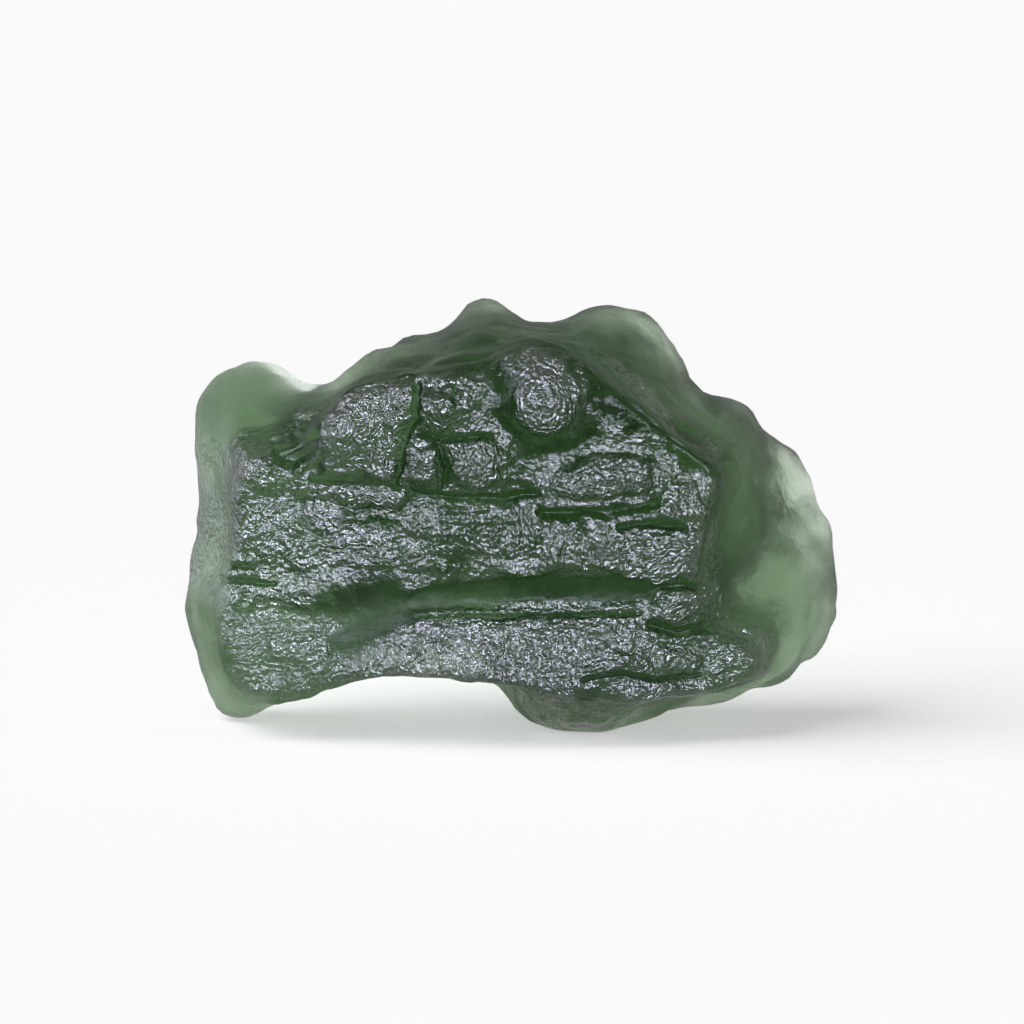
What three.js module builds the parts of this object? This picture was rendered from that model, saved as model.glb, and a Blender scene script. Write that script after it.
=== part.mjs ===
// A rough moldavite: one splash of green natural glass that the ground has etched.
// Millimetres, +Z up. The sculpted face looks along -Y and +X is to its right as it is looked at.
// The origin is the middle of the bottom of the stone's box, on the surface that it stands on.
//
// The stone is a closed field, negative inside the glass: a flared front shell, from the small
// sculpted face to the wide thin rim, meets a rounded back shell at that rim. Knobs, ledges and
// scoops are then added to and cut from the field, and a fine sphere is drawn in onto its surface.

import * as THREE from 'three';
import { mergeVertices } from 'three/addons/utils/BufferGeometryUtils.js';
import { ImprovedNoise } from 'three/addons/math/ImprovedNoise.js';

const { lerp, clamp, smoothstep } = THREE.MathUtils;

// Driving dimensions
const FACE_Y = -4.9; // the sculpted face
const RIM_Y = 2.2; // the widest section, where the thin flanges end
const BACK_Y = 6.2; // the back
const FLARE = 1.6; // above 1 the flanks are hollow and the rim is thin
const BACK_INSET = 4.2; // how far the outline draws in from the rim to the back
const BACK_ROUND = 1.15; // above 1 the back is full
const EDGE_ROUND = 0.36; // rounding between the face and the flanks
const RIM_ROUND = 0.8; // rounding of the rim
const RIM_GROWTH = 0.32; // what that rounding takes off the rim, given back to its outline
const WAVES = [ // unevenness of the whole skin
  { size: 3.1, height: 0.25 },
  { size: 1.3, height: 0.12 },
];
const SPHERE_DETAIL = 21; // 20 * (detail + 1) ^ 2 triangles
const GLASS = { color: 0x3f5a36, roughness: 0.25, metalness: 0 };

// Outlines, as [x, z] seen from the front

// The sculpted face, from its lower left corner round by the top
const FACE = [
  [-10.3, 1.7], [-11.5, 3.6], [-11.4, 6.9], [-10.8, 10.1], [-9.9, 12.0], [-8.4, 13.1], [-6.7, 14.0],
  [-4.5, 14.5], [-1.7, 14.9], [0.3, 15.6], [1.5, 15.7], [2.8, 15.0], [4.3, 13.8], [5.9, 12.4],
  [7.9, 10.9], [7.7, 9.5], [7.1, 7.7], [6.9, 5.7], [7.5, 4.3], [9.2, 3.7], [9.5, 2.6], [7.5, 2.0],
  [4.7, 1.8], [2.3, 1.9], [0.9, 2.3], [-0.5, 2.7], [-3.3, 2.8], [-5.7, 2.6], [-8.1, 2.0],
];

// The rim, from the foot up the left side: upper left flange, notch, two crests, stepped right side
const RIM = [
  [-11.4, 0.2], [-12.1, 0.8], [-12.7, 2.2], [-13.1, 3.8], [-13.2, 5.3], [-12.9, 6.7], [-12.7, 8.3],
  [-12.75, 9.8], [-12.9, 11.2], [-12.7, 12.5], [-12.1, 13.4], [-11.2, 14.0], [-10.1, 14.2], [-9.3, 14.0],
  [-8.6, 13.4], [-7.7, 12.2], [-6.8, 13.4], [-6.3, 14.6], [-5.6, 15.1], [-4.9, 15.1], [-4.2, 15.5],
  [-3.3, 15.6], [-2.4, 15.9], [-2.1, 16.6], [-1.6, 17.15], [-1.0, 17.25], [-0.6, 16.7], [0.4, 16.1],
  [1.2, 16.0], [2.2, 16.2], [3.1, 16.7], [4.0, 16.9], [4.9, 16.6], [5.8, 15.9], [6.6, 15.0], [7.1, 14.1],
  [7.5, 13.2], [8.3, 12.8], [9.3, 12.6], [9.9, 12.0], [10.2, 11.3], [10.9, 11.0], [11.6, 10.4],
  [12.4, 8.8], [12.9, 7.2], [13.1, 5.7], [13.1, 4.4], [12.8, 3.4], [12.3, 2.7], [11.5, 2.3], [11.0, 1.6],
  [10.0, 1.4], [8.3, 0.7], [5.9, 0.8], [3.0, 1.0], [0.9, 1.4], [-0.3, 1.9], [-1.6, 1.6], [-3.4, 1.7],
  [-5.1, 1.9], [-7.4, 1.3], [-9.8, 0.9], [-10.6, 0.4],
];

// A closed smooth outline that can tell how far a point lies outside it. The distances are worked
// out once, on a grid, because the surface asks for them millions of times.
function outline(points) {
  const STEPS_PER_POINT = 4;
  const CELL = 0.1;
  const LOW = { x: -20, z: -6 };
  const COLUMNS = 400;
  const ROWS = 320;
  const curve = new THREE.CatmullRomCurve3(points.map(([x, z]) => new THREE.Vector3(x, 0, z)), true);
  const corners = curve.getPoints(points.length * STEPS_PER_POINT).slice(0, -1);

  function distance(x, z) {
    let nearest = Infinity;
    let inside = false;
    for (let i = 0, j = corners.length - 1; i < corners.length; j = i++) {
      const a = corners[j];
      const b = corners[i];
      const ex = b.x - a.x;
      const ez = b.z - a.z;
      const along = clamp(((x - a.x) * ex + (z - a.z) * ez) / (ex * ex + ez * ez), 0, 1);
      const dx = x - a.x - along * ex;
      const dz = z - a.z - along * ez;
      nearest = Math.min(nearest, dx * dx + dz * dz);
      if (a.z > z !== b.z > z && x < a.x + ((z - a.z) / ez) * ex) inside = !inside;
    }
    return inside ? -Math.sqrt(nearest) : Math.sqrt(nearest);
  }

  const table = new Float32Array(COLUMNS * ROWS);
  for (let row = 0; row < ROWS; row++) {
    for (let column = 0; column < COLUMNS; column++) {
      table[row * COLUMNS + column] = distance(LOW.x + column * CELL, LOW.z + row * CELL);
    }
  }
  return (x, z) => {
    const u = clamp((x - LOW.x) / CELL, 0, COLUMNS - 1.001);
    const v = clamp((z - LOW.z) / CELL, 0, ROWS - 1.001);
    const at = Math.floor(v) * COLUMNS + Math.floor(u);
    const near = lerp(table[at], table[at + 1], u % 1);
    const far = lerp(table[at + COLUMNS], table[at + COLUMNS + 1], u % 1);
    return lerp(near, far, v % 1);
  };
}

const outsideFace = outline(FACE);
const outsideRim = outline(RIM);

// Smooth join and smooth cut of two field values, rounded over the given width
const join = (a, b, width) => {
  const h = Math.max(width - Math.abs(a - b), 0) / width;
  return Math.min(a, b) - (h * h * width) / 4;
};
const cut = (a, b, width) => -join(-a, -b, width);

const perlin = new ImprovedNoise();
const unevenness = (x, y, z) => WAVES.reduce((sum, { size, height }) =>
  sum + height * perlin.noise(x / size, y / size, z / size), 0);

// How far a point lies outside an ellipsoid, in about millimetres
function outsideEllipsoid({ at, radii }, x, y, z) {
  const k = Math.hypot((x - at[0]) / radii[0], (y - at[1]) / radii[1], (z - at[2]) / radii[2]);
  return (k - 1) * Math.min(...radii);
}

// Relief of the sculpted face: how far it stands towards -Y

// A round or oval lump, turned by tilt in the face, with a moat eaten round its foot
const LUMPS = [
  { x: 1.1, z: 13.7, across: 2.1, high: 2.2, tilt: 0, rise: 1.2, moat: 0.2 }, // the knob
  { x: 3.6, z: 10.4, across: 2.9, high: 1.4, tilt: 0.1, rise: 0.75, moat: 0.15 }, // the oval mound
  { x: -6.6, z: 12.4, across: 1.9, high: 1.7, tilt: 0, rise: 0.45, moat: 0.1 }, // blocks left of the knob
  { x: -3.4, z: 11.2, across: 1.3, high: 1.5, tilt: 0, rise: 0.4, moat: 0.1 },
  { x: -1.2, z: 11.3, across: 1.4, high: 1.4, tilt: 0.3, rise: 0.4, moat: 0.1 },
  { x: -3.0, z: 13.6, across: 1.6, high: 1.2, tilt: 0.2, rise: 0.4, moat: 0 },
  { x: 6.3, z: 7.9, across: 1.7, high: 2.4, tilt: 0.2, rise: 0.45, moat: 0 }, // shoulder at the right edge
  { x: -7.5, z: 6.2, across: 3.4, high: 1.1, tilt: 0.05, rise: 0.3, moat: 0 },
];

// Steps along a line: just above it the face falls back by deep, within the height of fade
const STEPS = [
  { from: [-4.2, 5.1], to: [5.2, 5.25], high: 1.8, fade: 0.5, deep: 0.6 }, // the long straight ledge
  { from: [-8.2, 3.6], to: [-4.2, 5.1], high: 1.8, fade: 0.7, deep: 0.4 }, // the trough that runs into it
  { from: [-10.4, 8.9], to: [0.6, 9.0], high: 1.3, fade: 0.6, deep: 0.25 }, // under the blocks
];

function lumpRise({ x: cx, z: cz, across, high, tilt, rise, moat }, x, z) {
  const u = ((x - cx) * Math.cos(tilt) + (z - cz) * Math.sin(tilt)) / across;
  const v = ((z - cz) * Math.cos(tilt) - (x - cx) * Math.sin(tilt)) / high;
  const r = Math.hypot(u, v);
  const MOAT_AT = 1.1;
  const MOAT_WIDE = 0.35;
  const dome = rise * (1 - smoothstep(r, 0, 1));
  return dome - moat * (1 - smoothstep(Math.abs(r - MOAT_AT), 0, MOAT_WIDE));
}

// Deepest just above the line, it rises back to the face over the height of high
function stepFall({ from, to, high, fade, deep }, x, z) {
  const length = Math.hypot(to[0] - from[0], to[1] - from[1]);
  const dx = (to[0] - from[0]) / length;
  const dz = (to[1] - from[1]) / length;
  const along = (x - from[0]) * dx + (z - from[1]) * dz;
  const above = (z - from[1]) * dx - (x - from[0]) * dz;
  const ends = smoothstep(along, -fade, fade) * smoothstep(length - along, -fade, fade);
  return deep * ends * smoothstep(above, 0, fade) * (1 - smoothstep(above, fade, high));
}

// Beyond these lines the face leans back, by so much per millimetre
const LEAN_LEFT = { from: -3, slope: 0.16 };
const LEAN_RIGHT = { from: 4, slope: 0.12 };
const LEAN_TOP = { from: 13.6, slope: 0.35 };

// Below the long ledge a lip comes forward, fading out at its two ends
const LIP = { from: 5, high: 2.6, slope: 0.28, left: [-9, -5], right: [4, 7] };

function faceY(x, z) {
  const lean = LEAN_LEFT.slope * Math.max(LEAN_LEFT.from - x, 0)
    + LEAN_RIGHT.slope * Math.max(x - LEAN_RIGHT.from, 0)
    + LEAN_TOP.slope * Math.max(z - LEAN_TOP.from, 0);
  const lipEnds = smoothstep(x, ...LIP.left) * (1 - smoothstep(x, ...LIP.right));
  const lip = LIP.slope * clamp(LIP.from - z, 0, LIP.high) * lipEnds;
  const rise = LUMPS.reduce((sum, lump) => sum + lumpRise(lump, x, z), 0);
  const fall = STEPS.reduce((sum, step) => sum + stepFall(step, x, z), 0);
  return FACE_Y + lean - lip - rise + fall;
}

// Hollows that break the flanks and the back, each cut by an ellipsoid
const SCOOPS = [
  { at: [13.6, -5.4, 8.4], radii: [4.6, 5.2, 4.2] }, // smooth hollow right of the face
  { at: [8.6, -5.6, 15.6], radii: [4.0, 5.6, 3.6] }, // above it, under the right crest
  { at: [-13.6, -3.6, 9.0], radii: [2.6, 4.4, 4.4] }, // left flank
  { at: [-11.0, -5.2, 15.4], radii: [4.2, 6.4, 4.2] }, // front of the upper left flange
  { at: [-10.4, 7.2, 12.4], radii: [4.2, 4.6, 5.0] }, // back of the same flange
  { at: [-5.8, 8.8, 11.8], radii: [3.8, 6.2, 3.4] }, // back, upper left
  { at: [4.6, 7.6, 15.2], radii: [4.0, 4.4, 3.6] }, // back of the right crest
  { at: [5.4, 8.8, 9.0], radii: [4.2, 4.2, 3.4] }, // back, right of the middle
  { at: [11.4, 7.2, 8.4], radii: [3.4, 4.8, 3.4] }, // back of the right rim
  { at: [7.4, 8.6, 4.2], radii: [3.4, 6.2, 2.3] }, // below it, a small one
  { at: [-1.4, 9.2, 5.6], radii: [4.0, 4.2, 3.2] }, // back, below the middle
  { at: [-8.4, 8.4, 4.8], radii: [3.8, 6.8, 3.6] }, // back, lower left
  { at: [-4.6, 2.4, -1.2], radii: [4.6, 6.2, 4.4] }, // arch between the foot and the lobe
  { at: [-3.4, -0.4, 0.8], radii: [4.2, 3.3, 3.7] }, // the arch's inside, close behind the lip
];
const SCOOP_ROUND = 0.5;

// The lobe under the middle and the tip of the left end, both worn flat where they stand
const LOBE = { at: [2.9, 0.8, 1.8], radii: [3.4, 4.6, 2.35] };
const LOBE_BLEND = 1.2;
const FOOT = { at: [-11.2, 2.4, 0.8], radii: [1.0, 1.6, 1.3] };
const FOOT_BLEND = 0.7;

// The thick curl at the back of the upper left flange
const CURL = { at: [-10.6, 1.9, 12.6], radii: [1.6, 2.4, 1.6] };
const CURL_BLEND = 1.3;

function stone(x, y, z) {
  const rim = outsideRim(x, z) - RIM_GROWTH;
  const front = (y - FACE_Y) / (RIM_Y - FACE_Y);
  const flared = lerp(outsideFace(x, z), rim, Math.sign(front) * Math.abs(front) ** FLARE);
  const back = Math.max((y - RIM_Y) / (BACK_Y - RIM_Y), 0);
  const rounded = rim + BACK_INSET * back ** BACK_ROUND;

  let d = cut(flared, rounded, RIM_ROUND);
  d = cut(d, faceY(x, z) - y, EDGE_ROUND);
  d = cut(d, y - BACK_Y, EDGE_ROUND);
  for (const scoop of SCOOPS) d = cut(d, -outsideEllipsoid(scoop, x, y, z), SCOOP_ROUND);
  d = join(d, outsideEllipsoid(LOBE, x, y, z), LOBE_BLEND);
  d = join(d, outsideEllipsoid(FOOT, x, y, z), FOOT_BLEND);
  d = join(d, outsideEllipsoid(CURL, x, y, z), CURL_BLEND);
  return Math.max(d + unevenness(x, y, z), -z);
}

// The surface: a sphere drawn in onto the field, with its triangles kept even on the way

function neighboursOf(geometry) {
  const lists = Array.from({ length: geometry.attributes.position.count }, () => new Set());
  const corners = geometry.index.array;
  for (let i = 0; i < corners.length; i += 3) {
    for (let k = 0; k < 3; k++) {
      lists[corners[i + k]].add(corners[i + ((k + 1) % 3)]);
      lists[corners[i + k]].add(corners[i + ((k + 2) % 3)]);
    }
  }
  return lists.map((list) => [...list]);
}

function slope(p) {
  const STEP = 0.02;
  return new THREE.Vector3(
    stone(p.x + STEP, p.y, p.z) - stone(p.x - STEP, p.y, p.z),
    stone(p.x, p.y + STEP, p.z) - stone(p.x, p.y - STEP, p.z),
    stone(p.x, p.y, p.z + STEP) - stone(p.x, p.y, p.z - STEP),
  ).divideScalar(2 * STEP);
}

function settle(p) {
  const LONGEST_STEP = 0.6;
  const LEAST_SLOPE = 0.22;
  const g = slope(p);
  const move = clamp(stone(p.x, p.y, p.z) / Math.max(g.length(), LEAST_SLOPE), -LONGEST_STEP, LONGEST_STEP);
  return p.addScaledVector(g.normalize(), -move);
}

function drawnSphere() {
  const START = { size: [16.5, 9.5, 12.5], at: [0, 0.6, 8.4] };
  const FACE_SHARE = 0.4; // how far the triangles are crowded towards the sculpted face
  const ROUNDS = 90;
  const EVENING = 0.6; // falls to nothing over the rounds, so that crests keep their vertices
  const LAST_ROUNDS = 8;
  const FLAT_WITHIN = 0.06; // a vertex this near the floor lies on it

  const sphere = new THREE.IcosahedronGeometry(1, SPHERE_DETAIL);
  sphere.deleteAttribute('normal');
  sphere.deleteAttribute('uv');
  const geometry = mergeVertices(sphere);
  const position = geometry.attributes.position;
  const neighbours = neighboursOf(geometry);

  let points = Array.from({ length: position.count }, (_, i) => {
    const p = new THREE.Vector3().fromBufferAttribute(position, i);
    p.y -= FACE_SHARE;
    return p.normalize().multiply(new THREE.Vector3(...START.size)).add(new THREE.Vector3(...START.at));
  });
  for (let round = 0; round < ROUNDS; round++) {
    const evening = EVENING * (1 - round / ROUNDS);
    points = points.map((p, i) => {
      const middle = new THREE.Vector3();
      for (const n of neighbours[i]) middle.add(points[n]);
      middle.divideScalar(neighbours[i].length);
      return settle(p.clone().lerp(middle, evening));
    });
  }
  for (let round = 0; round < LAST_ROUNDS; round++) points = points.map(settle);
  points.forEach((p, i) => position.setXYZ(i, p.x, p.y, p.z < FLAT_WITHIN ? 0 : p.z));
  return geometry;
}

const geometry = drawnSphere();
geometry.computeBoundingBox();
const middle = geometry.boundingBox.getCenter(new THREE.Vector3());
geometry.translate(-middle.x, -middle.y, 0);
geometry.computeVertexNormals();

const moldavite = new THREE.Mesh(geometry, new THREE.MeshStandardMaterial(GLASS));
moldavite.name = 'moldavite';

const part = new THREE.Group();
part.add(moldavite);

export default part;
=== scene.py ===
import math

import bmesh
import bpy
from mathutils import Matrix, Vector, noise
from mathutils.bvhtree import BVHTree


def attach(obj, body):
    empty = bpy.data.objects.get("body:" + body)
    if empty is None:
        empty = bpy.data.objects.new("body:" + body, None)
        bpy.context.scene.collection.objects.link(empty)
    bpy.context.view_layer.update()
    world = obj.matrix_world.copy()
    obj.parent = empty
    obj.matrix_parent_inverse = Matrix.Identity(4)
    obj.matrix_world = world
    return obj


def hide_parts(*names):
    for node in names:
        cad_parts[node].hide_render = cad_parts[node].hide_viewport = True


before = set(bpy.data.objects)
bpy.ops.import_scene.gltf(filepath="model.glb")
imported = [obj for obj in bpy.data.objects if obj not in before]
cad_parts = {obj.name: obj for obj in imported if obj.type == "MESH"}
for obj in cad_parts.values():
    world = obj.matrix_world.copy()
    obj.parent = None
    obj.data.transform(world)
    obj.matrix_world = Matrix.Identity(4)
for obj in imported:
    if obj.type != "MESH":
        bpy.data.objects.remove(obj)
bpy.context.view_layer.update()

# The stone
# One splash of green natural glass, set as one piece. Its front was etched in the ground into plateaus, cracks and
# grain, its back into faint cups, and its flanks and thin flanges are smooth scooped breaks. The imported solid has
# its large forms.

MM = 0.001  # the mesh is worked in millimetres and put back into metres at the end
noise.seed_set(7)  # so that the noise sways the relief the same way on every run

stone_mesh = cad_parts["moldavite"].data.copy()
stone_mesh.name = "etched_moldavite"
bm = bmesh.new()
bm.from_mesh(stone_mesh)
bmesh.ops.scale(bm, vec=(1 / MM,) * 3, verts=bm.verts)
bmesh.ops.remove_doubles(bm, verts=bm.verts, dist=0.001)


def ease(low, high, value):
    """0 at low, 1 at high, smooth between them."""
    t = min(max((value - low) / (high - low), 0.0), 1.0)
    return t * t * (3.0 - 2.0 * t)


FACE_END = 7.8  # how far to the right the etched face reaches
LOW_REACH = 2.2  # how much farther it reaches low down
END_FADE = 0.8


def face_share(point, normal):
    """1 on the etched front face, 0 on the flanks and the back."""
    turned = ease(0.1, 0.45, -normal.y)
    forward = ease(1.2, 2.4, -point.y)
    end = FACE_END + LOW_REACH * (1.0 - ease(3.8, 5.2, point.z))
    return turned * forward * (1.0 - ease(end, end + END_FADE, point.x))


def even_out(times):
    """Rounds the cut facets off."""
    for _ in range(times):
        bmesh.ops.smooth_vert(bm, verts=bm.verts, factor=0.5, use_axis_x=True, use_axis_y=True, use_axis_z=True)


# The solid's facets are halved everywhere, and cut in three again on the face, where the etching is fine
bmesh.ops.subdivide_edges(bm, edges=bm.edges[:], cuts=1, use_grid_fill=True)
even_out(4)
bm.normal_update()
on_face = {v for v in bm.verts if face_share(v.co, v.normal) > 0.1}
face_edges = [e for e in bm.edges if on_face.issuperset(e.verts)]
bmesh.ops.subdivide_edges(bm, edges=face_edges, cuts=2, use_grid_fill=True)
bmesh.ops.triangulate(bm, faces=[f for f in bm.faces if len(f.verts) > 3])
even_out(3)
bm.normal_update()

# Plateaus that the etching left standing: outline as x and z, rise, grain, and which way the grain runs, in degrees
# from level. None is grain that follows the outline.
PLATEAUS = [
    ([(-7.8, 12.9), (-6.9, 13.1), (-6.0, 13.9), (-4.9, 14.3), (-3.9, 14.3), (-3.9, 12.9), (-4.3, 12.2), (-4.8, 10.6),
      (-7.5, 10.6)], 0.20, 0.9, 62.0),
    ([(-3.6, 14.1), (-2.3, 14.2), (-2.2, 12.5), (-2.6, 12.3), (-3.4, 12.7)], 0.18, 0.9, None),
    ([(-2.1, 14.3), (-0.9, 14.4), (-1.0, 13.5), (-2.0, 13.3)], 0.16, 1.0, None),
    ([(-1.9, 13.1), (-0.8, 13.3), (-0.7, 12.5), (-1.7, 12.4)], 0.08, 0.5, 30.0),
    ([(-4.1, 12.0), (-3.2, 12.0), (-2.8, 11.2), (-2.9, 10.4), (-3.6, 10.3), (-4.5, 10.6)], 0.20, 1.0, -22.0),
    ([(-2.6, 12.0), (-1.0, 12.2), (0.2, 11.7), (0.0, 11.3), (-0.6, 11.0), (-0.4, 10.5), (-1.2, 10.1), (-1.9, 10.2),
      (-2.3, 10.9)], 0.20, 1.0, 75.0),
    ([(-7.8, 10.2), (-5.2, 10.3), (-4.1, 10.0), (-4.1, 9.3), (-5.6, 9.4), (-7.7, 9.7)], 0.12, 0.8, 5.0),
    ([(0.0, 11.0), (0.8, 10.9), (0.7, 10.3), (0.0, 10.4)], 0.10, 0.8, None),
    ([(-10.7, 11.5), (-9.8, 11.6), (-9.4, 10.9), (-9.5, 10.0), (-10.6, 10.2)], 0.14, 0.9, None),
    ([(-9.1, 11.2), (-8.2, 10.7), (-7.6, 11.3), (-7.2, 12.4), (-7.6, 12.5), (-8.0, 11.7), (-8.5, 11.2)],
     0.25, 1.0, None),
    ([(-10.4, 9.7), (-8.5, 9.8), (-8.6, 9.0), (-10.5, 9.0)], 0.08, 0.6, 40.0),
    ([(-9.0, 8.9), (-8.2, 8.9), (-8.0, 8.2), (-8.8, 8.2)], 0.08, 0.7, None),
    ([(-7.0, 9.2), (-6.3, 9.3), (-6.1, 8.5), (-6.9, 8.4)], 0.08, 0.7, None),
    ([(-9.2, 8.2), (-4.6, 8.3), (-4.3, 6.9), (-8.8, 6.9)], 0.10, 0.62, 1.0),
    ([(-9.1, 6.3), (-7.3, 6.5), (-7.0, 5.6), (-8.0, 5.2), (-9.1, 5.5)], 0.12, 1.0, None),
    ([(-10.9, 6.2), (-9.6, 6.2), (-9.7, 5.4), (-10.9, 5.3)], 0.08, 0.6, 20.0),
    ([(-11.6, 5.2), (-7.4, 5.0), (-6.4, 3.4), (-6.6, 2.2), (-8.4, 1.5), (-10.8, 1.2)], 0.02, 0.52, 20.0),
    ([(-9.6, 4.1), (-8.5, 4.2), (-7.1, 4.3), (-7.0, 3.4), (-7.9, 2.7), (-8.8, 3.3), (-9.5, 3.3)], 0.16, 1.0, 35.0),
    ([(-10.6, 2.1), (-9.8, 2.1), (-9.6, 1.6), (-10.3, 1.5)], 0.10, 1.0, None),
    ([(-9.2, 2.0), (-8.4, 2.1), (-8.5, 1.7), (-9.2, 1.6)], 0.08, 0.8, None),
    ([(-4.2, 9.6), (1.0, 9.6), (1.0, 7.5), (-1.8, 7.4), (-4.2, 7.6)], 0.08, 0.5, 88.0),
    ([(-4.4, 8.1), (-3.2, 8.1), (-3.2, 7.0), (-4.4, 6.9)], 0.12, 0.9, 60.0),
    ([(-4.6, 6.9), (-2.6, 7.0), (-3.0, 6.2), (-4.8, 6.0)], 0.08, 0.8, None),
    ([(-3.05, 7.3), (-2.7, 7.6), (-2.35, 7.1), (-2.8, 6.9)], 0.22, 1.0, 40.0),
    ([(-0.9, 7.2), (2.0, 7.4), (1.9, 6.8), (-0.8, 6.6)], 0.10, 0.9, 2.0),
    ([(-2.7, 5.0), (1.0, 5.2), (5.2, 5.4), (5.1, 4.5), (1.0, 4.3), (-2.6, 4.2)], 0.08, 0.8, None),
    ([(-6.2, 4.2), (-3.0, 4.6), (4.0, 4.5), (4.7, 2.6), (1.2, 1.8), (-2.0, 2.1), (-6.2, 2.4)], 0.06, 0.62, 84.0),
    ([(4.4, 4.3), (9.4, 4.8), (10.3, 3.6), (9.6, 2.4), (6.5, 1.5), (3.2, 1.3)], 0.02, 0.55, 10.0),
    ([(3.0, 8.6), (4.6, 8.5), (7.4, 8.6), (7.4, 6.6), (5.3, 6.1), (4.4, 6.6), (3.0, 7.0)], 0.16, 0.9, 15.0),
    ([(6.0, 10.2), (7.4, 10.4), (7.7, 9.1), (6.3, 8.9), (5.6, 9.2)], 0.14, 0.9, 25.0),
    ([(1.0, 8.9), (2.8, 9.0), (2.8, 7.0), (1.1, 6.9)], 0.14, 0.9, 80.0),
    ([(5.7, 6.1), (7.3, 6.1), (7.5, 5.2), (6.6, 4.7), (5.6, 5.0)], 0.26, 1.0, None),
    ([(5.5, 3.8), (6.4, 4.0), (7.7, 3.6), (7.0, 2.9), (5.8, 3.1)], 0.20, 0.8, None),
    ([(2.6, 3.3), (3.9, 3.9), (4.9, 3.7), (4.6, 3.2), (2.7, 2.9)], 0.18, 0.5, 10.0),
    ([(3.8, 2.4), (6.0, 2.7), (7.7, 2.5), (7.4, 1.8), (5.5, 1.6), (4.0, 2.0)], 0.16, 0.9, 8.0),
    ([(1.0, 3.2), (2.2, 2.9), (2.8, 1.9), (2.2, 1.5), (1.2, 2.1)], 0.14, 0.9, None),
    ([(6.9, 4.6), (8.4, 4.5), (8.2, 4.1), (6.9, 4.2)], 0.14, 0.8, 5.0),
    ([(7.6, 3.4), (9.3, 3.6), (9.0, 2.7), (7.7, 2.6)], 0.12, 0.7, None),
    ([(1.5, 10.6), (2.6, 11.4), (4.6, 11.6), (5.7, 11.1), (5.6, 10.3), (3.6, 9.9), (1.6, 10.0)], 0.16, 1.0, 4.0),
    ([(0.0, 13.6), (0.4, 14.9), (1.1, 15.6), (2.0, 15.2), (2.6, 14.2), (2.5, 12.8), (1.4, 12.2), (0.4, 12.6)],
     0.10, 1.0, None),
]

# Thin ridges: the points of each as x and z, its half width and its rise
RIDGES = [
    ([(-2.7, 9.35), (-1.0, 9.4)], 0.12, 0.14),
    ([(-2.4, 8.95), (0.0, 8.95)], 0.10, 0.12),
    ([(-2.65, 9.3), (-2.6, 8.2)], 0.10, 0.14),
    ([(-1.6, 9.0), (-1.55, 8.3)], 0.10, 0.14),
    ([(-0.7, 9.0), (-0.65, 8.1)], 0.10, 0.14),
    ([(0.15, 9.5), (0.2, 7.9)], 0.10, 0.14),
    ([(0.65, 9.4), (0.85, 8.0)], 0.10, 0.16),
    ([(-3.8, 8.9), (-3.75, 8.2)], 0.10, 0.14),
    ([(1.4, 9.6), (5.3, 9.8)], 0.14, 0.20),
    ([(-3.8, 5.25), (0.8, 5.3), (5.1, 5.5)], 0.09, 0.12),
    ([(-11.7, 7.2), (-10.2, 7.2)], 0.18, 0.16),
    ([(-11.7, 6.6), (-10.2, 6.65)], 0.18, 0.16),
]

# Cracks between the plateaus: points, half width and depth
CRACKS = [
    ([(-3.75, 14.3), (-3.7, 12.9), (-4.15, 12.2), (-4.6, 10.4)], 0.22, 0.30),
    ([(-3.6, 12.4), (-2.6, 12.15), (-1.6, 12.3), (-0.8, 12.2)], 0.20, 0.24),
    ([(-2.9, 12.0), (-2.5, 11.1), (-2.6, 10.3)], 0.18, 0.25),
    ([(-7.9, 10.45), (-5.0, 10.45), (-4.4, 10.2)], 0.16, 0.20),
    ([(-4.0, 10.0), (-2.5, 9.9), (-0.5, 9.8), (1.0, 10.0)], 0.22, 0.20),
    ([(1.2, 9.25), (3.5, 9.3), (5.6, 9.55)], 0.26, 0.25),
    ([(-11.8, 6.9), (-10.2, 6.93)], 0.10, 0.20),
    ([(-11.7, 6.3), (-9.4, 6.35)], 0.12, 0.25),
    ([(4.2, 8.7), (5.4, 8.85), (6.8, 8.7)], 0.18, 0.25),
    ([(4.8, 6.0), (5.8, 6.35), (7.3, 6.25)], 0.18, 0.25),
    ([(5.5, 4.8), (6.5, 4.45), (7.6, 4.7)], 0.25, 0.30),
    ([(-3.8, 5.05), (5.1, 5.25)], 0.10, 0.16),
    ([(2.8, 2.75), (4.2, 3.0), (5.6, 2.7), (7.4, 2.8)], 0.14, 0.12),
]

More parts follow.
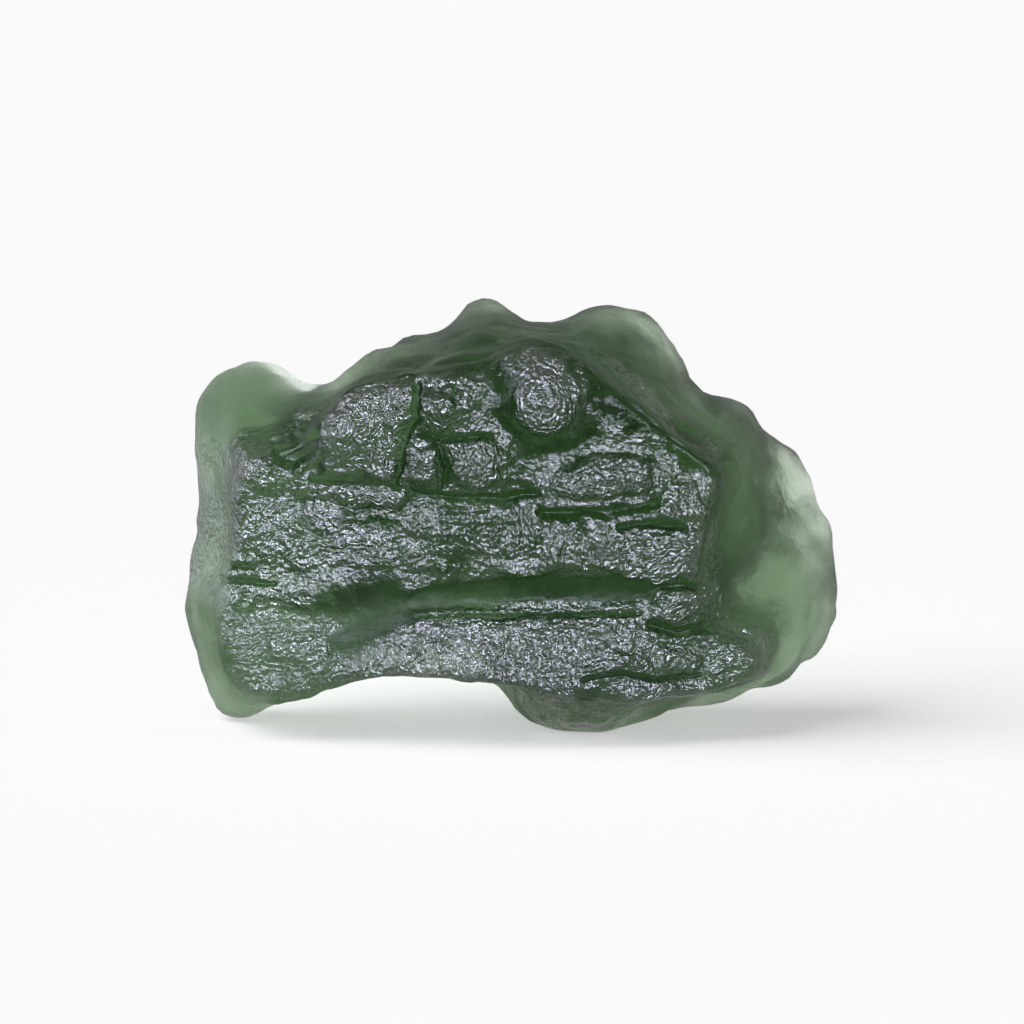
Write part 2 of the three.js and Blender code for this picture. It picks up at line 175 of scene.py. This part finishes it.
# Smoother spots: outline, how deep each is dished and how much of the grain is gone
SMOOTH_SPOTS = [
    ([(-9.6, 12.1), (-8.6, 12.4), (-7.6, 12.9), (-7.4, 12.2), (-7.9, 11.3), (-8.5, 10.9), (-9.4, 11.2)], 0.40, 0.9),
    ([(-0.9, 14.6), (-0.3, 15.2), (0.2, 14.6), (0.1, 13.2), (0.6, 12.5), (1.4, 12.2), (2.6, 12.5), (3.4, 13.0),
      (3.6, 12.2), (2.6, 11.7), (1.2, 11.6), (0.0, 12.0), (-0.7, 13.0)], 0.05, 0.9),
    ([(2.8, 15.4), (4.5, 13.8), (7.9, 11.8), (8.2, 10.4), (6.8, 10.8), (5.9, 12.2), (3.8, 12.6), (2.9, 13.8)],
     0.0, 0.9),
    ([(1.2, 9.5), (5.6, 9.75), (5.5, 9.0), (1.3, 8.95)], 0.10, 0.9),
    ([(-8.0, 12.6), (-6.4, 12.4), (-5.4, 11.0), (-5.0, 10.4), (-7.8, 10.4)], 0.0, 0.3),
    ([(-6.8, 14.3), (-4.6, 14.6), (-0.8, 14.8), (0.0, 16.0), (-3.0, 16.2), (-6.4, 15.6)], 0.05, 0.9),
    ([(-7.8, 6.5), (-4.4, 6.5), (-4.2, 5.6), (-6.4, 4.6), (-8.0, 5.0)], 0.0, 0.75),
]

# Places where the etching left the face dull and hazy: outline and how dull
HAZY_SPOTS = [
    ([(-6.4, 4.4), (-3.0, 4.7), (4.0, 4.6), (4.8, 2.6), (1.2, 1.6), (-2.0, 1.9), (-6.4, 2.0)], 1.3),
    ([(-12.5, 5.4), (-7.4, 5.2), (-6.2, 3.6), (-6.2, 1.8), (-8.4, 1.0), (-12.0, 0.0)], 1.3),
    ([(4.4, 4.5), (9.4, 5.0), (10.6, 3.6), (9.6, 2.2), (6.5, 1.2), (3.0, 1.0)], 0.8),
    ([(-8.4, 12.8), (-6.2, 12.8), (-5.0, 11.0), (-4.8, 10.3), (-8.0, 10.3)], 0.8),
    ([(-8.2, 7.0), (-4.2, 7.0), (-3.8, 5.4), (-6.2, 4.2), (-8.4, 4.6)], 1.2),
]

# The smooth, waxy trough that runs up from the lower left: points and half width
TROUGH = ([(-6.7, 4.1), (-3.3, 5.8), (0.4, 6.2), (5.2, 6.2)], 0.55)
TROUGH_SMOOTH = 0.8  # how much of the relief and the grain is gone in it

BASE_GRAIN = 0.54  # grain between the plateaus
CRACK_DEPTH = 0.8  # share of each crack's depth that stays open
CRACK_BARE = 0.8  # how much of the grain is gone in the cracks


def line_distance(points, x, z):
    """How far x, z lies from a line through the points."""
    nearest = 1e9
    for (ax, az), (bx, bz) in zip(points, points[1:]):
        ex, ez = bx - ax, bz - az
        along = min(max(((x - ax) * ex + (z - az) * ez) / (ex * ex + ez * ez), 0.0), 1.0)
        nearest = min(nearest, math.hypot(x - ax - along * ex, z - az - along * ez))
    return nearest


def depth_inside(outline, x, z):
    """How far x, z lies inside a closed outline, and less than 0 outside it."""
    nearest, inside = 1e9, False
    for (ax, az), (bx, bz) in zip(outline, outline[1:] + outline[:1]):
        ex, ez = bx - ax, bz - az
        along = min(max(((x - ax) * ex + (z - az) * ez) / (ex * ex + ez * ez), 0.0), 1.0)
        nearest = min(nearest, math.hypot(x - ax - along * ex, z - az - along * ez))
        if (az > z) != (bz > z) and x < ax + (z - az) * ex / ez:
            inside = not inside
    return nearest if inside else -nearest


def face_relief(point):
    """Height over the solid's face, its grain, how far across the grain's run, its worms and its haze."""
    sway = noise.noise_vector(point / 1.1) * 0.30 + noise.noise_vector(point / 0.35) * 0.12
    x, z = point.x + sway.x, point.z + sway.z
    patches = noise.noise(point / 1.3) * 0.35 + noise.noise(point / 0.45) * 0.25
    height, grain, flow, worms = 0.0, BASE_GRAIN + patches, z, 0.0
    for outline, rise, grit, run in PLATEAUS:
        if not min(c[0] for c in outline) - 0.1 < x < max(c[0] for c in outline) + 0.1:
            continue
        if not min(c[1] for c in outline) - 0.1 < z < max(c[1] for c in outline) + 0.1:
            continue
        depth = depth_inside(outline, x, z)
        share = ease(-0.1, 0.28, depth)
        if share > 0.0:
            height = max(height, rise * share)
            grain += (grit - grain) * ease(-0.1, 0.45, depth)
            flow = depth if run is None else z * math.cos(math.radians(run)) - x * math.sin(math.radians(run))
            worms = ease(0.02, 0.35, depth)
    for outline, dish, bare in SMOOTH_SPOTS:
        share = ease(-0.15, 0.35, depth_inside(outline, x, z))
        height -= dish * share
        grain *= 1.0 - bare * share
    x, z = point.x + 0.3 * sway.x, point.z + 0.3 * sway.z
    for points, half, rise in RIDGES:
        height += rise * (1.0 - ease(0.0, 1.5 * half, line_distance(points, x, z)))
    for points, half, depth in CRACKS:
        cut = 1.0 - ease(0.0, 1.1 * half, line_distance(points, x, z))
        height -= CRACK_DEPTH * depth * cut
        grain *= 1.0 - CRACK_BARE * cut
    grain = max(grain, 0.0)
    lumps = 0.08 * noise.noise(point / 0.6) * (0.4 + grain)
    points, half = TROUGH
    smooth = TROUGH_SMOOTH - TROUGH_SMOOTH * ease(0.6 * half, 1.2 * half, line_distance(points, x, z))
    haze = max(dull * ease(-0.4, 0.6, depth_inside(outline, x, z)) for outline, dull in HAZY_SPOTS)
    return (height + lumps) * (1.0 - smooth), grain * (1.0 - smooth), flow, worms, max(haze, smooth)


# Where the back swells or is hollowed, behind the flanges, the lip, the trough and the large upper left plateau:
# x, z, radius and rise
BACK_SWELLS = [
    (-10.9, 12.7, 1.2, 1.3),
    (-9.1, 13.5, 1.4, -2.2),
    (10.4, 9.2, 1.2, -0.7),
    (11.4, 8.0, 1.5, 0.8),
    (11.6, 5.0, 1.4, -0.3),
    (9.0, 4.6, 1.7, -1.4),
    (-1.0, 6.2, 3.0, -1.6),
    (-3.6, 3.4, 1.6, -1.2),
    (0.4, 3.2, 1.6, -1.2),
    (-9.0, 3.6, 2.2, -1.1),
    (-6.3, 11.6, 1.5, -1.0),
]
THINNEST = 0.7  # glass left in front of a hollow
SKIN_STEP = 0.05  # how far under the back the look for the front starts
before = BVHTree.FromBMesh(bm)


def back_relief(point, normal):
    """The swells and hollows of the back, as a move along y."""
    sway = noise.noise_vector(point / 1.6) * 0.7
    behind = ease(0.1, 0.6, normal.y)
    rise = 0.0
    for x, z, radius, lift in BACK_SWELLS:
        away = (point.x + sway.x - x) ** 2 + (point.z + sway.z - z) ** 2
        rise += lift * behind * math.exp(-away / radius ** 2)
    if rise < -0.02:
        glass = before.ray_cast(point - Vector((0.0, SKIN_STEP, 0.0)), Vector((0.0, -1.0, 0.0)))[3]
        rise = max(rise, min(THINNEST - glass, 0.0)) if glass else 0.0
    return rise


SHELL_SIZE, SHELL_DEPTH = 2.4, 0.34
RIPPLE_SIZE, RIPPLE_DEPTH = 0.9, 0.10
CUP_SIZE, CUP_DEPTH = 1.5, 0.25


def back_share(normal):
    """1 on the back, 0 on the flanks and the face."""
    return ease(0.5, 0.85, normal.y)


def flank_relief(point, normal):
    """Shallow shells and ripples of the smooth breaks, and the cups that etching left on the back."""
    shells = noise.voronoi(point / SHELL_SIZE)[0]
    cups = noise.voronoi((point + noise.noise_vector(point / 1.2) * 0.4) / CUP_SIZE)[0]
    etched = CUP_DEPTH * min(cups[0], 0.7) * back_share(normal)
    ripples = RIPPLE_DEPTH * noise.noise(point / RIPPLE_SIZE)
    return SHELL_DEPTH * min(shells[1] - shells[0], 0.5) + ripples + etched


FLANK_GRAIN = 0.10
STRIP_GRAIN = 0.45  # added on the frosted strip down the left end
BACK_GRAIN, BACK_PATCHES = 0.30, 0.25
FLANGE_DULL = 0.7  # how much duller the upper left flange is than the other flanks
FOOTING = 0.6  # height over which the relief fades out towards the floor
grain_layer = bm.verts.layers.float.new("grain")
flow_layer = bm.verts.layers.float.new("flow")
worms_layer = bm.verts.layers.float.new("worms")
matte_layer = bm.verts.layers.float.new("matte")
moved = []
for v in bm.verts:
    share = face_share(v.co, v.normal)
    left_end = ease(-9.0, -10.0, v.co.x) * ease(0.3, 0.7, -v.normal.x)
    strip = left_end * ease(4.0, 6.0, v.co.z) * (1.0 - ease(11.0, 12.5, v.co.z))
    etched = back_share(v.normal) * (BACK_GRAIN + BACK_PATCHES * noise.noise(v.co / 1.5))
    rise, grain, flow = flank_relief(v.co, v.normal), FLANK_GRAIN + STRIP_GRAIN * strip + etched, v.co.z
    worms, haze = 0.0, 0.0
    if share > 0.0:
        face_rise, face_grain, flow, worms, haze = face_relief(v.co)
        rise = share * face_rise + (1.0 - share) * rise
        grain = share * face_grain + (1.0 - share) * grain
    flange = ease(-7.4, -8.6, v.co.x) * ease(12.6, 13.4, v.co.z)
    v[grain_layer] = grain
    v[flow_layer] = flow
    v[worms_layer] = worms * share
    v[matte_layer] = (1.0 - share) * (1.0 + FLANGE_DULL * flange) + share * haze
    standing = ease(0.0, FOOTING, v.co.z)
    moved.append(v.co + (v.normal * rise + Vector((0.0, back_relief(v.co, v.normal), 0.0))) * standing)
for v, place in zip(bm.verts, moved):
    v.co = place
    v.co.z = max(v.co.z, 0.0)

for f in bm.faces:
    f.smooth = True
bmesh.ops.scale(bm, vec=(MM,) * 3, verts=bm.verts)
bm.to_mesh(stone_mesh)
bm.free()

stone = bpy.data.objects.new("moldavite_stone", stone_mesh)
bpy.context.scene.collection.objects.link(stone)

# Green glass: clear, with its colour in its depth, and a skin that the grain makes glitter
glass = bpy.data.materials.new("moldavite_glass")
glass.use_nodes = True
nodes, links = glass.node_tree.nodes, glass.node_tree.links
nodes.clear()
output = nodes.new("ShaderNodeOutputMaterial")
skin = nodes.new("ShaderNodeBsdfPrincipled")
skin.inputs["Base Color"].default_value = (0.95, 0.98, 0.94, 1.0)
skin.inputs["IOR"].default_value = 1.49
skin.inputs["Transmission Weight"].default_value = 1.0
skin.inputs["Specular Tint"].default_value = (0.25, 0.25, 0.25, 1.0)
links.new(skin.outputs["BSDF"], output.inputs["Surface"])

depth_colour = nodes.new("ShaderNodeVolumeAbsorption")
depth_colour.inputs["Color"].default_value = (0.104, 0.33, 0.042, 1.0)
depth_colour.inputs["Density"].default_value = 390.0
links.new(depth_colour.outputs["Volume"], output.inputs["Volume"])

coordinates = nodes.new("ShaderNodeTexCoord")
grain_amount = nodes.new("ShaderNodeAttribute")
grain_amount.attribute_name = "grain"
grain_flow = nodes.new("ShaderNodeAttribute")
grain_flow.attribute_name = "flow"
worms_amount = nodes.new("ShaderNodeAttribute")
worms_amount.attribute_name = "worms"
matte_amount = nodes.new("ShaderNodeAttribute")
matte_amount.attribute_name = "matte"


def math_node(operation, first, second):
    """A math node, with a socket or a plain value on each of its two inputs."""
    node = nodes.new("ShaderNodeMath")
    node.operation = operation
    for slot, value in enumerate((first, second)):
        if isinstance(value, bpy.types.NodeSocket):
            links.new(value, node.inputs[slot])
        else:
            node.inputs[slot].default_value = value
    return node.outputs["Value"]


def noise_node(size, detail):
    """Noise with features of this size in millimetres, from 0 to 1."""
    node = nodes.new("ShaderNodeTexNoise")
    node.inputs["Scale"].default_value = 1.0 / (size * MM)
    node.inputs["Detail"].default_value = detail
    links.new(coordinates.outputs["Object"], node.inputs["Vector"])
    return node.outputs["Fac"]


# Winding ridges that follow the flow, broken up into worms, dots and cups
RIDGE_SPACING = 0.26
CELL_SIZE = 0.24
bend = math_node("MULTIPLY", noise_node(0.6, 1.0), 3.5)
turns = math_node("ADD", math_node("MULTIPLY", grain_flow.outputs["Fac"], 1.0 / RIDGE_SPACING), bend)
lines = math_node("SINE", math_node("MULTIPLY", turns, 2.0 * math.pi), 0.0)
worms = math_node("MULTIPLY", worms_amount.outputs["Fac"], 0.6)
ridges = math_node("MULTIPLY", math_node("MULTIPLY", lines, worms), grain_amount.outputs["Fac"])
dots = math_node("MULTIPLY", noise_node(0.12, 1.0), 1.7)
cells = nodes.new("ShaderNodeTexVoronoi")
cells.inputs["Scale"].default_value = 1.0 / (CELL_SIZE * MM)
links.new(coordinates.outputs["Object"], cells.inputs["Vector"])
cups = math_node("MULTIPLY", cells.outputs["Distance"], 1.8)
rough_skin = math_node("ADD", math_node("ADD", ridges, dots), cups)
etched = nodes.new("ShaderNodeMapRange")
etched.inputs["From Min"].default_value = 0.05
etched.inputs["From Max"].default_value = 0.7
links.new(grain_amount.outputs["Fac"], etched.inputs["Value"])
pits = math_node("MULTIPLY", rough_skin, etched.outputs["Result"])
dimples = math_node("MULTIPLY", noise_node(0.6, 2.0), 2.2)
pit_height = math_node("ADD", pits, dimples)

pit_bump = nodes.new("ShaderNodeBump")
pit_bump.inputs["Strength"].default_value = 1.0
pit_bump.inputs["Distance"].default_value = 0.052 * MM
links.new(pit_height, pit_bump.inputs["Height"])
links.new(pit_bump.outputs["Normal"], skin.inputs["Normal"])
links.new(pit_bump.outputs["Normal"], skin.inputs["Coat Normal"])

gloss = nodes.new("ShaderNodeMapRange")
gloss.inputs["To Min"].default_value = 0.15
gloss.inputs["To Max"].default_value = 0.85
links.new(math_node("MULTIPLY", matte_amount.outputs["Fac"], noise_node(1.4, 2.0)), gloss.inputs["Value"])
links.new(gloss.outputs["Result"], skin.inputs["Roughness"])

skin.inputs["Coat IOR"].default_value = 1.9
skin.inputs["Coat Roughness"].default_value = 0.16
sheen = nodes.new("ShaderNodeMapRange")
sheen.interpolation_type = "SMOOTHSTEP"
sheen.inputs["From Min"].default_value = 0.2
sheen.inputs["From Max"].default_value = 0.8
links.new(grain_amount.outputs["Fac"], sheen.inputs["Value"])
links.new(sheen.outputs["Result"], skin.inputs["Coat Weight"])

stone_mesh.materials.clear()
stone_mesh.materials.append(glass)
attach(stone, "root")
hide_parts("moldavite")

# The floor and the light
# A plain white floor, lit a little from below, under an even white surround. One soft lamp at the left throws the
# shadow on the floor. Four others, above the camera and to its sides, light the stone alone and make its grain glitter.

floor_mesh = bpy.data.meshes.new("floor")
bm = bmesh.new()
bmesh.ops.create_grid(bm, x_segments=1, y_segments=1, size=6.0)
bm.to_mesh(floor_mesh)
bm.free()
floor = bpy.data.objects.new("floor", floor_mesh)
bpy.context.scene.collection.objects.link(floor)
floor.visible_glossy = False  # the skin mirrors the dim room in front instead

floor_paint = bpy.data.materials.new("white_floor")
floor_paint.use_nodes = True
paint = floor_paint.node_tree.nodes["Principled BSDF"]
paint.inputs["Base Color"].default_value = (0.95, 0.95, 0.95, 1.0)
paint.inputs["Roughness"].default_value = 1.0
paint.inputs["Specular IOR Level"].default_value = 0.0
paint.inputs["Emission Color"].default_value = (1.0, 1.0, 1.0, 1.0)
paint.inputs["Emission Strength"].default_value = 0.45
floor_mesh.materials.append(floor_paint)

SURROUND = 0.956  # what is seen past and through the stone
SURROUND_ON_FLOOR = 0.10  # what lights the floor
ROOM_IN_FRONT = 0.36  # what the skin mirrors from the front and above, between the lamps
ROOM_BEHIND = 0.5  # what the skin mirrors from behind
world = bpy.data.worlds.new("white_surround")
bpy.context.scene.world = world
world.use_nodes = True
nodes, links = world.node_tree.nodes, world.node_tree.links
background = nodes["Background"]
ray = nodes.new("ShaderNodeLightPath")
direction = nodes.new("ShaderNodeTexCoord")
axes = nodes.new("ShaderNodeSeparateXYZ")
links.new(direction.outputs["Generated"], axes.inputs["Vector"])
mirrored = nodes.new("ShaderNodeMapRange")
mirrored.interpolation_type = "SMOOTHSTEP"
mirrored.inputs["From Min"].default_value = -0.1
mirrored.inputs["From Max"].default_value = 0.6
mirrored.inputs["To Min"].default_value = ROOM_IN_FRONT
mirrored.inputs["To Max"].default_value = ROOM_BEHIND
above = nodes.new("ShaderNodeMath")
above.operation = "MAXIMUM"
links.new(axes.outputs["Z"], above.inputs[0])
above.inputs[1].default_value = 0.0
backdrop = nodes.new("ShaderNodeMath")
backdrop.operation = "SUBTRACT"
links.new(axes.outputs["Y"], backdrop.inputs[0])
links.new(above.outputs["Value"], backdrop.inputs[1])
links.new(backdrop.outputs["Value"], mirrored.inputs["Value"])
on_floor = nodes.new("ShaderNodeMix")
on_floor.inputs["A"].default_value = SURROUND
on_floor.inputs["B"].default_value = SURROUND_ON_FLOOR
links.new(ray.outputs["Is Diffuse Ray"], on_floor.inputs["Factor"])
in_gloss = nodes.new("ShaderNodeMix")
links.new(on_floor.outputs["Result"], in_gloss.inputs["A"])
links.new(mirrored.outputs["Result"], in_gloss.inputs["B"])
off_skin = nodes.new("ShaderNodeMath")
off_skin.operation = "SUBTRACT"
off_skin.use_clamp = True
links.new(ray.outputs["Is Glossy Ray"], off_skin.inputs[0])
links.new(ray.outputs["Is Transmission Ray"], off_skin.inputs[1])
links.new(off_skin.outputs["Value"], in_gloss.inputs["Factor"])
links.new(in_gloss.outputs["Result"], background.inputs["Strength"])
background.inputs["Color"].default_value = (1.0, 1.0, 1.0, 1.0)

# Each lamp: its bearing and height as seen from the stone and its width across, all in degrees, its brightness in
# floor whites, and what it lights
LAMPS = {
    "lamp_key": (-72.0, 44.0, 60.0, 2.48, "floor"),
    "lamp_over_camera": (-4.0, 20.0, 28.0, 21.0, "stone"),
    "lamp_left": (-38.0, 26.0, 24.0, 21.0, "stone"),
    "lamp_right": (38.0, 18.0, 24.0, 21.0, "stone"),
    "lamp_far_left": (-95.0, 15.0, 60.0, 2.5, "stone"),
}
lit = {"floor": bpy.data.collections.new("lit_floor"), "stone": bpy.data.collections.new("lit_stone")}
lit["floor"].objects.link(floor)
lit["stone"].objects.link(stone)
for name, (bearing, height, across, brightness, target) in LAMPS.items():
    lamp = bpy.data.lights.new(name, "SUN")
    lamp.angle = math.radians(across)
    lamp.energy = brightness * math.pi * math.sin(lamp.angle / 2.0) ** 2
    lamp.color = (1.0, 1.0, 1.0) if target == "floor" else (0.76, 0.77, 1.0)
    stand = bpy.data.objects.new(name, lamp)
    turn, lift = math.radians(bearing), math.radians(height)
    towards = Vector((math.sin(turn) * math.cos(lift), -math.cos(turn) * math.cos(lift), math.sin(lift)))
    stand.rotation_euler = towards.to_track_quat("Z", "Y").to_euler()
    stand.location = towards
    stand.light_linking.receiver_collection = lit[target]
    bpy.context.scene.collection.objects.link(stand)

# The camera
# A long lens a little above the stone, square to its etched face.

LIFT = math.radians(7.0)
DISTANCE = 0.2
SEEN_ACROSS = 1024 / 25 * MM  # the frame is 1024 pixels, at 25 pixels to a millimetre
AIM = Vector((0.0, -1.5 * MM, 8.87 * MM))
lens = bpy.data.cameras.new("camera")
lens.sensor_width = 36.0
lens.lens = lens.sensor_width * DISTANCE / SEEN_ACROSS
lens.clip_start = 0.01
camera = bpy.data.objects.new("camera", lens)
camera.location = AIM + DISTANCE * Vector((0.0, -math.cos(LIFT), math.sin(LIFT)))
camera.rotation_euler = (AIM - camera.location).to_track_quat("-Z", "Y").to_euler()
bpy.context.scene.collection.objects.link(camera)
bpy.context.scene.camera = camera
bpy.context.scene.view_settings.view_transform = "Standard"
